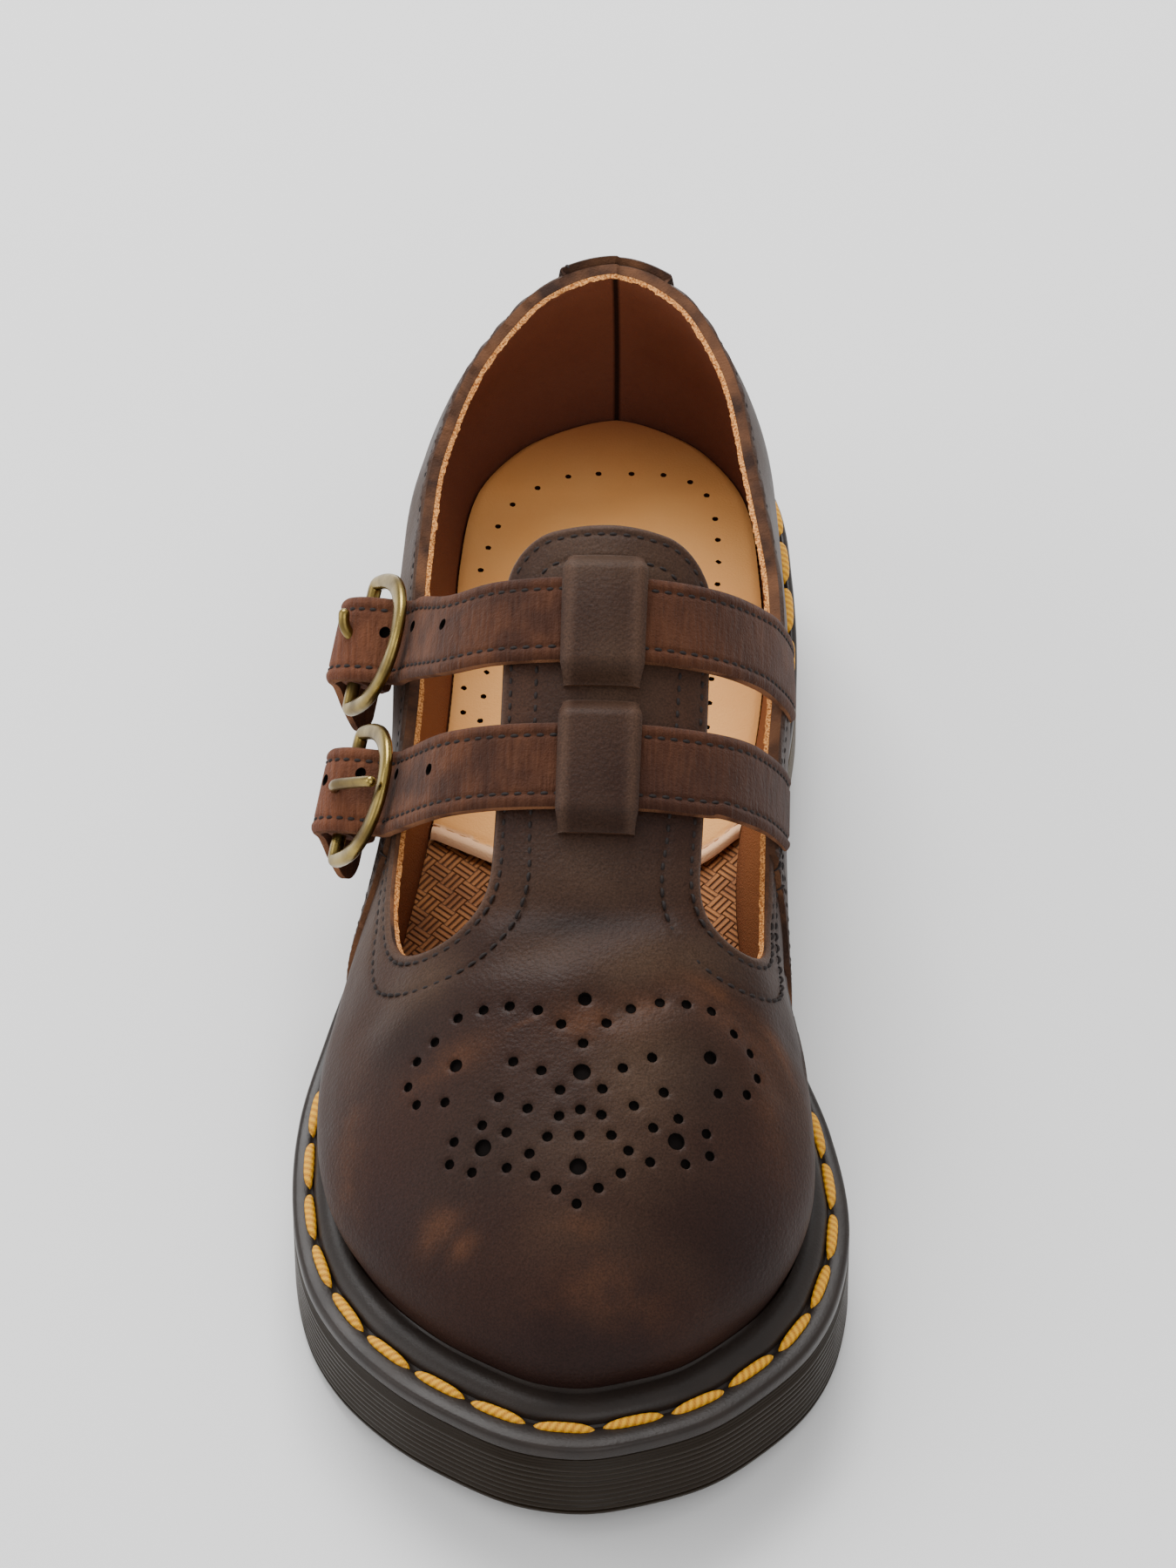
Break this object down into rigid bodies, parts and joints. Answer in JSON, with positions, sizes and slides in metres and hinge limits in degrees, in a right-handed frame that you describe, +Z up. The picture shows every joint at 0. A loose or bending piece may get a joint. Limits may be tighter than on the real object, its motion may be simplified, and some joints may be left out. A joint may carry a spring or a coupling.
{
  "type": "mary jane shoe",
  "caption": "Low leather shoe with a punched T-bar toe, buckled straps over the instep, a stitched welt and a ribbed rubber sole.",
  "frame": {"origin": "on the floor under the middle of the heel", "axes": "+Z up, toe towards -Y, buckle side (outer side of a right foot) towards -X"},
  "size_m": [0.1049, 0.2686, 0.1004],
  "materials": {
    "sole_rubber": "glossy translucent brown rubber, darker at the toe",
    "welt_leather": "near-black polished welt with yellow stitches",
    "upper_leather": "dark brown waxed leather with orange rub marks and creases",
    "strap_leather": "reddish brown nappy leather",
    "insole_board": "embossed tan board",
    "sock_leather": "orange tan suede with pinholes",
    "buckle_brass": "aged dark brass"
  },
  "bodies": {
    "root": {"outsole": "sole_rubber", "welt": "welt_leather", "upper": "upper_leather", "backstay": "upper_leather", "insole_board": "insole_board", "sock": "sock_leather", "strap_front": "strap_leather", "buckle_frame_front": "buckle_brass", "buckle_prong_front": "buckle_brass", "buckle_stay_front": "strap_leather", "strap_rear": "strap_leather", "buckle_frame_rear": "buckle_brass", "buckle_prong_rear": "buckle_brass", "buckle_stay_rear": "strap_leather"}
  },
  "joints": []
}
